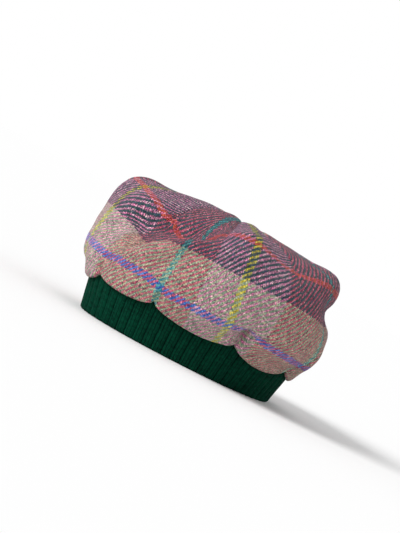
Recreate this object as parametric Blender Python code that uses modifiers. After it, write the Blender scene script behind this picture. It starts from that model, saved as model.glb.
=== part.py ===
"""Tweed beret: a draped crown of plaid tweed sewn to a ribbed knit band.

Metres, +Z up. The wearer looks along -Y and their left hand is at +X. The hat rests on its rim at z = 0, and the origin
is under the middle of the crown. An azimuth is counted from the front (-Y) towards the wearer's left (+X).
"""

import bisect
import math
from typing import NamedTuple

import bmesh
import bpy

# The knitted band: an oval head opening, opening out a little from the rim to the seam
HEAD_OPENING_WIDTH = 0.159
HEAD_OPENING_LENGTH = 0.201
BAND_HEIGHT = 0.038
BAND_WALL = 0.0038
BAND_FLARE = 0.008
BAND_EDGE_ROUND = 0.0008
RIB_COUNT = 64
RIB_GROOVE_DEPTH = 0.0011
RIM_SET_BACK = 0.003

# The tweed crown: one wall of cloth that rolls out over the band and closes on top
CROWN_WIDTH = 0.242
CROWN_LENGTH = 0.236
CROWN_WALL = 0.0024
DOME_TOP = 0.136
PUFF_ROLL = 0.0026
PUFF_SAG = 0.009
TUCK_DEPTH = 0.008
SEAM_CLEARANCE = 0.0003

# Facets between one tuck and the next, steps in which the rim is measured, and the fold past which an edge is sharp
COLUMNS_PER_PUFF = 8
RIM_STEPS = 2880
SHARP_EDGE_DEGREES = 50


class BandRow(NamedTuple):
    """A corner of the band's section, as shares: up its height, through its wall, round its lower edge."""

    up: float
    through: float
    edge: float
    ribbed: bool


class RibStation(NamedTuple):
    """A column of the ribs, as shares: of the way from one groove to the next, and of the groove's depth."""

    turn: float
    depth: float


class CrownRow(NamedTuple):
    """A row round the crown, as shares: of the cloth's height, of the overhang or half size, of the roll, of the rise."""

    up: float
    out: float
    roll: float
    rise: float


class Tuck(NamedTuple):
    """A pinch where the crown is gathered into the band: degrees, then shares of the cloth's height, of the tucks'
    depth, and of how far the puff that follows it hangs.
    """

    azimuth: float
    lean: float
    reach: float
    depth: float
    hang: float


class Swell(NamedTuple):
    """A soft swell, or a hollow where push is negative: degrees, leaning by so many over the cloth's height, then
    shares of that height and of the half width.
    """

    azimuth: float
    lean: float
    spread: float
    up: float
    up_spread: float
    push: float


BAND_SECTION = (
    BandRow(up=0.00, through=1.0, edge=-1.0, ribbed=True),
    BandRow(up=0.04, through=1.0, edge=0.0, ribbed=True),
    BandRow(up=0.50, through=1.0, edge=0.0, ribbed=True),
    BandRow(up=1.00, through=1.0, edge=0.0, ribbed=True),
    BandRow(up=1.00, through=0.0, edge=0.0, ribbed=False),
    BandRow(up=0.00, through=0.0, edge=0.0, ribbed=False),
)

RIB_STATIONS = (
    RibStation(turn=0.00, depth=1.0),
    RibStation(turn=0.13, depth=0.2),
    RibStation(turn=0.36, depth=0.0),
    RibStation(turn=0.64, depth=0.0),
    RibStation(turn=0.87, depth=0.2),
)

# Up to the widest row, out is a share of the way from the seam to the crown's full half size
WIDEST_UP = 0.24
CROWN_PROFILE = (
    CrownRow(up=0.000, out=0.000, roll=-0.20, rise=0.000),
    CrownRow(up=0.022, out=0.000, roll=0.72, rise=0.000),
    CrownRow(up=0.050, out=0.020, roll=0.85, rise=0.000),
    CrownRow(up=0.078, out=0.140, roll=1.00, rise=0.008),
    CrownRow(up=0.115, out=0.500, roll=0.70, rise=0.055),
    CrownRow(up=0.168, out=0.860, roll=0.25, rise=0.165),
    CrownRow(up=WIDEST_UP, out=1.000, roll=0.00, rise=0.330),
    CrownRow(up=0.330, out=1.000, roll=0.00, rise=0.515),
    CrownRow(up=0.410, out=0.965, roll=0.00, rise=0.675),
    CrownRow(up=0.490, out=0.890, roll=0.00, rise=0.800),
    CrownRow(up=0.580, out=0.760, roll=0.00, rise=0.888),
    CrownRow(up=0.680, out=0.580, roll=0.00, rise=0.945),
    CrownRow(up=0.790, out=0.380, roll=0.00, rise=0.980),
    CrownRow(up=0.900, out=0.180, roll=0.00, rise=0.996),
    CrownRow(up=1.000, out=0.000, roll=0.00, rise=1.000),
)
SAG_FROM_UP = 0.022
SAG_UP = 0.052
SAG_SPREAD = 0.028
PUFF_FULLNESS = 0.42
LEAN_UP = 0.5
HANG_FULLNESS = 0.6
EDGE_HOLD_UP = 0.10

TUCKS = (
    Tuck(azimuth=-30, lean=8, reach=0.30, depth=0.8, hang=1.15),
    Tuck(azimuth=-4, lean=14, reach=0.20, depth=0.8, hang=0.80),
    Tuck(azimuth=29, lean=10, reach=0.22, depth=0.8, hang=0.95),
    Tuck(azimuth=76, lean=-3, reach=0.34, depth=1.4, hang=1.30),
    Tuck(azimuth=124, lean=4, reach=0.30, depth=1.1, hang=1.25),
    Tuck(azimuth=150, lean=3, reach=0.36, depth=0.9, hang=1.15),
    Tuck(azimuth=185, lean=-6, reach=0.34, depth=1.0, hang=1.00),
    Tuck(azimuth=217, lean=5, reach=0.30, depth=0.8, hang=0.90),
    Tuck(azimuth=250, lean=-4, reach=0.42, depth=1.1, hang=1.00),
    Tuck(azimuth=289, lean=6, reach=0.28, depth=0.9, hang=0.90),
)

SWELLS = (
    Swell(azimuth=-44, lean=0, spread=18, up=0.53, up_spread=0.11, push=0.062),
    Swell(azimuth=-52, lean=0, spread=26, up=0.34, up_spread=0.1, push=-0.033),
    Swell(azimuth=-60, lean=0, spread=22, up=0.11, up_spread=0.06, push=0.016),
    Swell(azimuth=10, lean=100, spread=13, up=0.41, up_spread=0.13, push=-0.115),
    Swell(azimuth=27, lean=100, spread=9, up=0.31, up_spread=0.1, push=0.030),
    Swell(azimuth=16, lean=0, spread=20, up=0.56, up_spread=0.12, push=-0.085),
    Swell(azimuth=36, lean=0, spread=13, up=0.50, up_spread=0.13, push=-0.060),
    Swell(azimuth=56, lean=0, spread=12, up=0.52, up_spread=0.12, push=0.060),
    Swell(azimuth=75, lean=0, spread=8, up=0.12, up_spread=0.05, push=-0.062),
    Swell(azimuth=84, lean=0, spread=18, up=0.52, up_spread=0.14, push=-0.033),
    Swell(azimuth=132, lean=0, spread=22, up=0.39, up_spread=0.09, push=-0.140),
    Swell(azimuth=136, lean=0, spread=20, up=0.55, up_spread=0.09, push=0.083),
    Swell(azimuth=182, lean=0, spread=20, up=0.52, up_spread=0.15, push=-0.050),
    Swell(azimuth=224, lean=0, spread=22, up=0.50, up_spread=0.15, push=0.058),
    Swell(azimuth=268, lean=0, spread=18, up=0.54, up_spread=0.14, push=-0.050),
)


def smooth_step(share):
    """Rise smoothly from 0 to 1 as share does."""
    share = min(1.0, max(0.0, share))
    return share * share * (3.0 - 2.0 * share)


def wrapped(degrees):
    """Bring an angle between -180 and 180 degrees."""
    return (degrees + 180.0) % 360.0 - 180.0


def oval_radius(half_width, half_length, azimuth):
    """Distance from the middle of an oval to its edge at an azimuth in radians."""
    return 1.0 / math.hypot(math.sin(azimuth) / half_width, math.cos(azimuth) / half_length)


def on_plan(radius, azimuth, height, set_back):
    """Turn a radius, an azimuth and a height into a point, about an axis set back from the origin."""
    return (radius * math.sin(azimuth), set_back - radius * math.cos(azimuth), height)


def band_radius(azimuth, up, through):
    """Radius of the band's wall: through is 0 on its inner face and 1 on its outer face."""
    grown = BAND_FLARE * up + BAND_WALL * through
    return oval_radius(HEAD_OPENING_WIDTH / 2 + grown, HEAD_OPENING_LENGTH / 2 + grown, azimuth)


def rim_lengths():
    """Length along the band's outer rim up to each of its equal steps of azimuth."""
    steps = [step * 2 * math.pi / RIM_STEPS for step in range(RIM_STEPS + 1)]
    points = [on_plan(band_radius(azimuth, 0.0, 1.0), azimuth, 0.0, RIM_SET_BACK) for azimuth in steps]
    lengths = [0.0]
    for here, after in zip(points, points[1:]):
        lengths.append(lengths[-1] + math.dist(here, after))
    return lengths


def rib_azimuth(turn, lengths):
    """Azimuth of a place that is so many ribs from the front, where all ribs are equally wide along the rim."""
    wanted = turn / RIB_COUNT * lengths[-1]
    after = min(max(bisect.bisect_right(lengths, wanted), 1), RIM_STEPS)
    share = (wanted - lengths[after - 1]) / (lengths[after] - lengths[after - 1])
    return (after - 1 + share) * 2 * math.pi / RIM_STEPS


def band_rings():
    """Corners of the band's section at each of its columns, a groove between every two ribs."""
    lengths = rim_lengths()
    rings = []
    for rib in range(RIB_COUNT):
        for station in RIB_STATIONS:
            azimuth = rib_azimuth(rib + station.turn, lengths)
            ring = []
            for row in BAND_SECTION:
                radius = band_radius(azimuth, row.up, row.through) + row.edge * BAND_EDGE_ROUND
                radius -= RIB_GROOVE_DEPTH * station.depth if row.ribbed else 0.0
                ring.append(on_plan(radius, azimuth, row.up * BAND_HEIGHT, RIM_SET_BACK))
            rings.append(ring)
    return rings


def tuck_azimuth(index, up):
    """Azimuth in degrees of a tuck at a share of the cloth's height, counted on past a full turn."""
    turns, place = divmod(index, len(TUCKS))
    tuck = TUCKS[place]
    return tuck.azimuth + 360.0 * turns + tuck.lean * smooth_step(up / LEAN_UP)


def tuck_depth(index, up):
    """Depth of a tuck at a share of the cloth's height, fading out where the tuck ends."""
    tuck = TUCKS[index % len(TUCKS)]
    return tuck.depth * (1.0 - smooth_step(up / tuck.reach))


def dome_point(azimuth, row):
    """Radius and height of the plain dome on one row, before its tucks and swells."""
    seam = band_radius(azimuth, 1.0, 0.5)
    half_width, half_length = CROWN_WIDTH / 2, CROWN_LENGTH / 2
    full = oval_radius(half_width, half_length, azimuth) + RIM_SET_BACK * math.cos(azimuth)
    roll = BAND_WALL / 2 + SEAM_CLEARANCE + CROWN_WALL / 2 + PUFF_ROLL
    overhang = full - seam
    plain = seam + row.out * overhang if row.up < WIDEST_UP else row.out * full
    seam_height = BAND_HEIGHT + SEAM_CLEARANCE + CROWN_WALL / 2
    return plain + row.roll * roll, seam_height + row.rise * (DOME_TOP - CROWN_WALL / 2 - seam_height)


def row_normal(azimuth, index):
    """Outward normal of the dome's section on a row, as its radial and its upward part."""
    before = dome_point(azimuth, CROWN_PROFILE[max(index - 1, 0)])
    after = dome_point(azimuth, CROWN_PROFILE[min(index + 1, len(CROWN_PROFILE) - 1)])
    along = (after[0] - before[0], after[1] - before[1])
    length = math.hypot(*along)
    return along[1] / length, -along[0] / length


def crown_point(puff, phase, index):
    """Point in the middle of the crown's wall, at a phase from one tuck (0) to the next (1)."""
    row = CROWN_PROFILE[index]
    degrees = (1 - phase) * tuck_azimuth(puff, row.up) + phase * tuck_azimuth(puff + 1, row.up)
    depth = (1 - phase) * tuck_depth(puff, row.up) + phase * tuck_depth(puff + 1, row.up)
    fullness = math.sin(math.pi * phase) ** PUFF_FULLNESS if phase > 0 else 0.0
    push = -TUCK_DEPTH * depth * (1.0 - fullness)
    for swell in SWELLS:
        middle = swell.azimuth + swell.lean * (row.up - swell.up)
        across = wrapped(degrees - middle) / swell.spread
        along = (row.up - swell.up) / swell.up_spread
        push += swell.push * CROWN_WIDTH / 2 * math.exp(-across * across - along * along)
    push *= smooth_step(row.up / EDGE_HOLD_UP)
    azimuth = math.radians(degrees)
    radius, height = dome_point(azimuth, row)
    normal = row_normal(azimuth, index)
    hanging = PUFF_SAG * TUCKS[puff].hang * fullness**HANG_FULLNESS
    sag = hanging * math.exp(-(((row.up - SAG_UP) / SAG_SPREAD) ** 2))
    sag *= smooth_step((row.up - SAG_FROM_UP) / (SAG_UP - SAG_FROM_UP))
    inward = sag * BAND_FLARE / BAND_HEIGHT
    return on_plan(radius + push * normal[0] - inward, azimuth, height + push * normal[1] - sag, RIM_SET_BACK)


def crown_rings():
    """Rows of points round the crown, from the seam to the last row below its top."""
    return [
        [
            crown_point(puff, column / COLUMNS_PER_PUFF, index)
            for puff in range(len(TUCKS))
            for column in range(COLUMNS_PER_PUFF)
        ]
        for index in range(len(CROWN_PROFILE) - 1)
    ]


def material(name, colour, roughness):
    """Principled material for a cloth, with its colour and roughness."""
    made = bpy.data.materials.new(name)
    made.use_nodes = True
    shader = made.node_tree.nodes["Principled BSDF"]
    shader.inputs["Base Color"].default_value = (*colour, 1.0)
    shader.inputs["Roughness"].default_value = roughness
    shader.inputs["Metallic"].default_value = 0.0
    return made


def new_object(name, mesh, finish, collection):
    """Put a mesh into the scene as one named object, shaded smooth away from its sharp edges."""
    mesh.materials.append(finish)
    mesh.shade_smooth()
    mesh.set_sharp_from_angle(angle=math.radians(SHARP_EDGE_DEGREES))
    made = bpy.data.objects.new(name, mesh)
    collection.objects.link(made)
    return made


def ribbed_band(collection):
    """The folded rib knit that grips the head: a closed section lofted round the oval opening."""
    shape = bmesh.new()
    rings = [[shape.verts.new(corner) for corner in ring] for ring in band_rings()]
    for here, after in zip(rings, rings[1:] + rings[:1]):
        for low, high in zip(range(len(here)), list(range(1, len(here))) + [0]):
            shape.faces.new((here[low], after[low], after[high], here[high]))
    bmesh.ops.recalc_face_normals(shape, faces=shape.faces)
    mesh = bpy.data.meshes.new("ribbed_band")
    shape.to_mesh(mesh)
    shape.free()
    return new_object("ribbed_band", mesh, material("dark_green_knit", (0.012, 0.075, 0.045), 0.9), collection)


def tweed_crown(collection):
    """The crown: a surface lofted from the seam to a point on top, given the cloth's wall."""
    shape = bmesh.new()
    rings = [[shape.verts.new(point) for point in ring] for ring in crown_rings()]
    top = shape.verts.new(crown_point(0, 0.0, len(CROWN_PROFILE) - 1))
    for lower, upper in zip(rings, rings[1:]):
        for left in range(len(lower)):
            right = (left + 1) % len(lower)
            shape.faces.new((lower[left], lower[right], upper[right], upper[left]))
    last = rings[-1]
    for left in range(len(last)):
        shape.faces.new((last[left], last[(left + 1) % len(last)], top))
    bmesh.ops.recalc_face_normals(shape, faces=shape.faces)
    mesh = bpy.data.meshes.new("tweed_crown")
    shape.to_mesh(mesh)
    shape.free()
    crown = new_object("tweed_crown", mesh, material("plaid_tweed", (0.42, 0.30, 0.30), 0.95), collection)
    wall = crown.modifiers.new("cloth wall", "SOLIDIFY")
    wall.thickness = CROWN_WALL
    wall.offset = 0.0
    return crown


def main():
    """Clear the scene and model the hat."""
    for stale in list(bpy.data.objects):
        bpy.data.objects.remove(stale, do_unlink=True)
    collection = bpy.data.collections.new("tweed_beret")
    bpy.context.scene.collection.children.link(collection)
    ribbed_band(collection)
    tweed_crown(collection)


main()
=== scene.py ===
"""The looks of a tweed beret: a plaid crown, gathered and draped, on a ribbed knit band.

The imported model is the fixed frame, in metres: +Z up, the wearer looks along -Y, their left hand is at +X,
and the rim rests on z = 0. An azimuth is counted from the front (-Y) towards the wearer's left (+X), in
degrees where it says so. A share of the crown's cloth height runs from 0 at the seam to 1 at the top.
"""

import logging
import math
from dataclasses import dataclass
from enum import Enum
from typing import Any, Mapping, NamedTuple, Sequence, Union

import bpy
import numpy as np
from mathutils import Matrix, Vector


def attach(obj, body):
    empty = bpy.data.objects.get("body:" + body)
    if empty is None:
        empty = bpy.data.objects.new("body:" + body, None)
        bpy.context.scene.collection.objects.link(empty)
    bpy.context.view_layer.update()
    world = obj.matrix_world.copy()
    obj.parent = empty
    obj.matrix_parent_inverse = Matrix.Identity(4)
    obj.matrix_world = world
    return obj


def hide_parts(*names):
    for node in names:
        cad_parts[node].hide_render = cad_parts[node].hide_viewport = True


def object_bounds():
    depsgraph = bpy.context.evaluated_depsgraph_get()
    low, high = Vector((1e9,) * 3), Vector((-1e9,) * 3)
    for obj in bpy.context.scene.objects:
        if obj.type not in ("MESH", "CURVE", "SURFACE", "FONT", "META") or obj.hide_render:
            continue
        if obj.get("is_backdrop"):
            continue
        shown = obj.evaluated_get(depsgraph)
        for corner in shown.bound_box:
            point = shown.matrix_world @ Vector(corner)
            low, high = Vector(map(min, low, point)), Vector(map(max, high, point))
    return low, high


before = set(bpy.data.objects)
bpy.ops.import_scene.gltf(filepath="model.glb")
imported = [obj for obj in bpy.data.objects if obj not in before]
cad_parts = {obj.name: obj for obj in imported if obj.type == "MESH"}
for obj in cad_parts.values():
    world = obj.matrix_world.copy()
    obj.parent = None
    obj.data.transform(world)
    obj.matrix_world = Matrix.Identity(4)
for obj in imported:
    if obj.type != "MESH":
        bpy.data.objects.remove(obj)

LOG = logging.getLogger("tweed_beret")

# Soft noise: the shortest and longest wave against the mean one, and what brings the sum near 1.
SHORTEST_WAVE = 0.7
LONGEST_WAVE = 1.5
NOISE_GAIN = 0.6

# Too small to matter: a length to divide by and one to weld, in metres, and an angle, in degrees.
NO_LENGTH = 1e-12
WELD_GAP = 0.00002
GRID_SLACK = 1e-6

Colour = tuple[float, float, float]


class Onset(NamedTuple):
    """Where something sets in: it rises smoothly from 0 at the start to 1 a span further on."""

    start: float
    span: float

    def at(self, place: np.ndarray) -> np.ndarray:
        """How far it has set in at a place."""
        return smooth_step((place - self.start) / self.span)


class Ripple(NamedTuple):
    """Soft noise in space: its waves' mean length in metres, its size, how many waves, and their seed."""

    wavelength: float
    size: float
    waves: int
    seed: int


class Speckle(NamedTuple):
    """Noise in a shader: features per unit of its place, octaves, and how strong the fine ones are."""

    scale: float
    detail: float = 2.0
    roughness: float = 0.5


class Slope(NamedTuple):
    """How one amount follows another: so many times it, plus a start, held between two limits."""

    gain: float
    start: float
    low: float = 0.0
    high: float = 1.0


class Lustre(NamedTuple):
    """How a surface shines: its specular level, and its sheen's weight, roughness and linear tint."""

    specular: float
    sheen: float
    sheen_roughness: float
    sheen_tint: Colour


class SectionRow(NamedTuple):
    """A row round the crown, in shares: of the cloth's height, of the overhang or the half size, of the
    roll, and of the rise.
    """

    up: float
    out: float
    roll: float
    rise: float


class Tuck(NamedTuple):
    """A pinch where the crown is gathered into the band: degrees, then shares of the cloth's height, of the
    tucks' depth, and of how far the puff that follows it hangs.
    """

    azimuth: float
    lean: float
    reach: float
    depth: float
    hang: float


class Swell(NamedTuple):
    """A soft swell, or a hollow where push is negative: degrees, leaning by so many over the cloth's
    height, then shares of that height and of the half width.
    """

    azimuth: float
    lean: float
    spread: float
    up: float
    up_spread: float
    push: float


class Crease(NamedTuple):
    """A crease from one place on the cloth to another: degrees and shares of its height, then metres."""

    azimuth: float
    up: float
    to_azimuth: float
    to_up: float
    width: float
    depth: float


class Overlap(NamedTuple):
    """Where one puff stands over the next along a line: degrees and shares of the cloth's height, then
    metres: how wide the steep side is, how far the hollow behind it reaches, how deep it is, how much cloth
    the fold hides, and how far that draws the check along.
    """

    azimuth: float
    up: float
    to_azimuth: float
    to_up: float
    step: float
    reach: float
    depth: float
    hidden: float
    drawn: float


class Beside(NamedTuple):
    """Where points lie beside a line on the cloth: the share of the way along it, metres to its left as it
    is walked, and metres from the nearest point of it.
    """

    share: np.ndarray
    side: np.ndarray
    gap: np.ndarray


class GrainRow(NamedTuple):
    """How the cloth lies at an azimuth: how far its warp leans, in degrees, and how high its weft sits low
    and high on the crown, in metres.
    """

    azimuth: float
    lean: float
    level: float
    upper_level: float


class Tone(NamedTuple):
    """One colour of a spun yarn, as it shows on a screen from 0 to 255, and its share of the yarn."""

    share: float
    red: int
    green: int
    blue: int

    def linear(self, gain: float = 1.0) -> Colour:
        """The tone in linear light, gain times as bright."""
        red, green, blue = (screen_to_linear(level) * gain for level in (self.red, self.green, self.blue))
        return red, green, blue


class Stripe(NamedTuple):
    """A run of yarns in the sett, from one up to another, counted from the teal line or the seam."""

    yarn: "Yarn"
    first: int
    last: int


class Yarn(Enum):
    """The spun yarns of the tweed, each a mixture of tones."""

    PINK = (
        Tone(0.14, 142, 80, 108),
        Tone(0.18, 210, 128, 162),
        Tone(0.20, 198, 62, 146),
        Tone(0.20, 214, 154, 174),
        Tone(0.18, 188, 110, 142),
        Tone(0.10, 230, 200, 204),
    )
    RED = (
        Tone(0.13, 96, 40, 72),
        Tone(0.24, 188, 60, 94),
        Tone(0.15, 208, 88, 94),
        Tone(0.15, 156, 48, 84),
        Tone(0.20, 204, 76, 142),
        Tone(0.07, 218, 108, 84),
        Tone(0.06, 222, 150, 156),
    )
    TEAL = (Tone(0.3, 34, 112, 126), Tone(0.4, 52, 150, 160), Tone(0.3, 104, 176, 164))
    YELLOW = (Tone(0.3, 164, 148, 40), Tone(0.5, 204, 186, 44), Tone(0.2, 216, 204, 96))
    SAGE = (
        Tone(0.16, 84, 114, 96),
        Tone(0.25, 134, 160, 132),
        Tone(0.17, 108, 142, 118),
        Tone(0.24, 176, 184, 158),
        Tone(0.12, 206, 202, 182),
        Tone(0.06, 180, 168, 118),
    )
    DARK = (
        Tone(0.24, 22, 42, 56),
        Tone(0.18, 38, 86, 98),
        Tone(0.18, 28, 46, 48),
        Tone(0.14, 78, 88, 56),
        Tone(0.16, 34, 108, 120),
        Tone(0.10, 62, 52, 98),
    )
    BLUE = (Tone(0.35, 34, 76, 156), Tone(0.40, 52, 112, 190), Tone(0.25, 98, 144, 200))
    ORANGE = (Tone(0.35, 124, 42, 44), Tone(0.4, 178, 64, 42), Tone(0.25, 184, 90, 68))


class Link(Enum):
    """Sockets of Blender's Mix node for colours."""

    FACTOR = "Factor_Float"
    FIRST = "A_Color"
    SECOND = "B_Color"
    RESULT = "Result_Color"


def screen_to_linear(level: float) -> float:
    """Turn a screen level from 0 to 255 into linear light.

    Args:
        level: The level that a screen shows.

    Returns:
        The light it stands for, from 0 to 1.
    """
    share = level / 255.0
    return share / 12.92 if share <= 0.04045 else ((share + 0.055) / 1.055) ** 2.4


def smooth_step(share: np.ndarray) -> np.ndarray:
    """Rise smoothly from 0 to 1 as share does."""
    held = np.clip(share, 0.0, 1.0)
    return held * held * (3.0 - 2.0 * held)


def wrapped(degrees: np.ndarray) -> np.ndarray:
    """Bring angles between -180 and 180 degrees."""
    return (degrees + 180.0) % 360.0 - 180.0


def oval_radius(half_width: float, half_length: float, azimuth: np.ndarray) -> np.ndarray:
    """Distance from the middle of an oval to its edge at azimuths in radians."""
    return 1.0 / np.hypot(np.sin(azimuth) / half_width, np.cos(azimuth) / half_length)


def round_table(azimuths: np.ndarray, rows: Sequence[GrainRow], column: str) -> np.ndarray:
    """Read a table that goes round the hat, smoothly from each row to the next.

    Args:
        azimuths: Where it is read, in degrees.
        rows: The table, by rising azimuth.
        column: The name of the value that is read.

    Returns:
        The value at each azimuth.
    """
    places = [rows[-1].azimuth - 360.0, *(row.azimuth for row in rows), rows[0].azimuth + 360.0]
    values = [getattr(rows[-1], column), *(getattr(row, column) for row in rows), getattr(rows[0], column)]
    turned = (azimuths - places[1]) % 360.0 + places[1]
    at = np.clip(np.searchsorted(places, turned, side="right") - 1, 0, len(places) - 2)
    start, end = np.take(places, at), np.take(places, at + 1)
    share = smooth_step((turned - start) / (end - start))
    return np.take(values, at) * (1.0 - share) + np.take(values, at + 1) * share


def bell(distance: np.ndarray) -> np.ndarray:
    """1 at no distance, falling smoothly away on both sides."""
    return np.exp(-(distance**2))


def soft_noise(points: np.ndarray, ripple: Ripple) -> np.ndarray:
    """Smooth noise in space, as a sum of seeded waves.

    Args:
        points: Where it is read, with x, y and z last.
        ripple: Its waves and its size.

    Returns:
        The noise, mostly no further from 0 than its size.
    """
    draw = np.random.default_rng(ripple.seed)
    total = np.zeros(points.shape[:-1])
    for _ in range(ripple.waves):
        heading = draw.normal(size=3)
        heading /= np.linalg.norm(heading)
        length = ripple.wavelength * draw.uniform(SHORTEST_WAVE, LONGEST_WAVE)
        total += np.sin(points @ heading * (2 * math.pi / length) + draw.uniform(0.0, 2 * math.pi))
    return total * math.sqrt(2.0 / ripple.waves) * NOISE_GAIN * ripple.size


def grid_normals(points: np.ndarray) -> np.ndarray:
    """Find the outward normals of a grid of points.

    Args:
        points: Points by row going up and by column going round towards the wearer's left, till they meet.

    Returns:
        Unit normals by row and column.
    """
    across = np.gradient(points, axis=1)
    across[:, 0] = across[:, -1] = (points[:, 1] - points[:, -2]) / 2
    upward = np.gradient(points, axis=0)
    normals = np.cross(across, upward)
    return normals / np.maximum(np.linalg.norm(normals, axis=2, keepdims=True), NO_LENGTH)


def lengths_along(points: np.ndarray) -> np.ndarray:
    """Length from the first point, or row of points, to each one after it."""
    steps = np.linalg.norm(np.diff(points, axis=0), axis=-1)
    return np.concatenate([np.zeros_like(steps[:1]), np.cumsum(steps, axis=0)])


def face_corners(grid: np.ndarray) -> np.ndarray:
    """Give each face of a grid the values at its four corners.

    Args:
        grid: Values at the corners, by row and column.

    Returns:
        Values by the face's row and column, its lower or upper corner, and its left or right corner.
    """
    rows, columns = grid.shape[0] - 1, grid.shape[1] - 1
    faces = np.empty((rows, columns, 2, 2, *grid.shape[2:]))
    for upper in (0, 1):
        for right in (0, 1):
            faces[:, :, upper, right] = grid[upper : rows + upper, right : columns + right]
    return faces


def toward(azimuth: float, elevation: float) -> Vector:
    """Point from the hat towards an azimuth and an elevation.

    Args:
        azimuth: In degrees.
        elevation: In degrees.

    Returns:
        A unit vector.
    """
    turn, climb = math.radians(azimuth), math.radians(elevation)
    return Vector((math.sin(turn) * math.cos(climb), -math.cos(turn) * math.cos(climb), math.sin(climb)))


class Value:
    """A socket of a shader whose Python operators add Math nodes."""

    def __init__(self, board: "NodeBoard", socket: bpy.types.NodeSocket) -> None:
        """Keep the board and the output socket that holds the value."""
        self.board = board
        self.socket = socket

    def other(self, name: str) -> "Value":
        """Another output of the same node."""
        return Value(self.board, self.socket.node.outputs[name])

    def __add__(self, right: "Amount") -> "Value":
        """Add."""
        return self.board.maths("ADD", self, right)

    def __sub__(self, right: "Amount") -> "Value":
        """Take away."""
        return self.board.maths("SUBTRACT", self, right)

    def __rsub__(self, left: "Amount") -> "Value":
        """Take away from a number."""
        return self.board.maths("SUBTRACT", left, self)

    def __mul__(self, right: "Amount") -> "Value":
        """Multiply."""
        return self.board.maths("MULTIPLY", self, right)

    def __truediv__(self, right: "Amount") -> "Value":
        """Divide."""
        return self.board.maths("DIVIDE", self, right)

    def __pow__(self, right: "Amount") -> "Value":
        """Raise to a power."""
        return self.board.maths("POWER", self, right)

    def __mod__(self, right: "Amount") -> "Value":
        """Remainder that is never negative."""
        return self.board.maths("FLOORED_MODULO", self, right)

    def __lt__(self, right: "Amount") -> "Value":
        """1 where it is less."""
        return self.board.maths("LESS_THAN", self, right)

    def __gt__(self, right: "Amount") -> "Value":
        """1 where it is more."""
        return self.board.maths("GREATER_THAN", self, right)


Amount = Union[Value, float]


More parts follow.
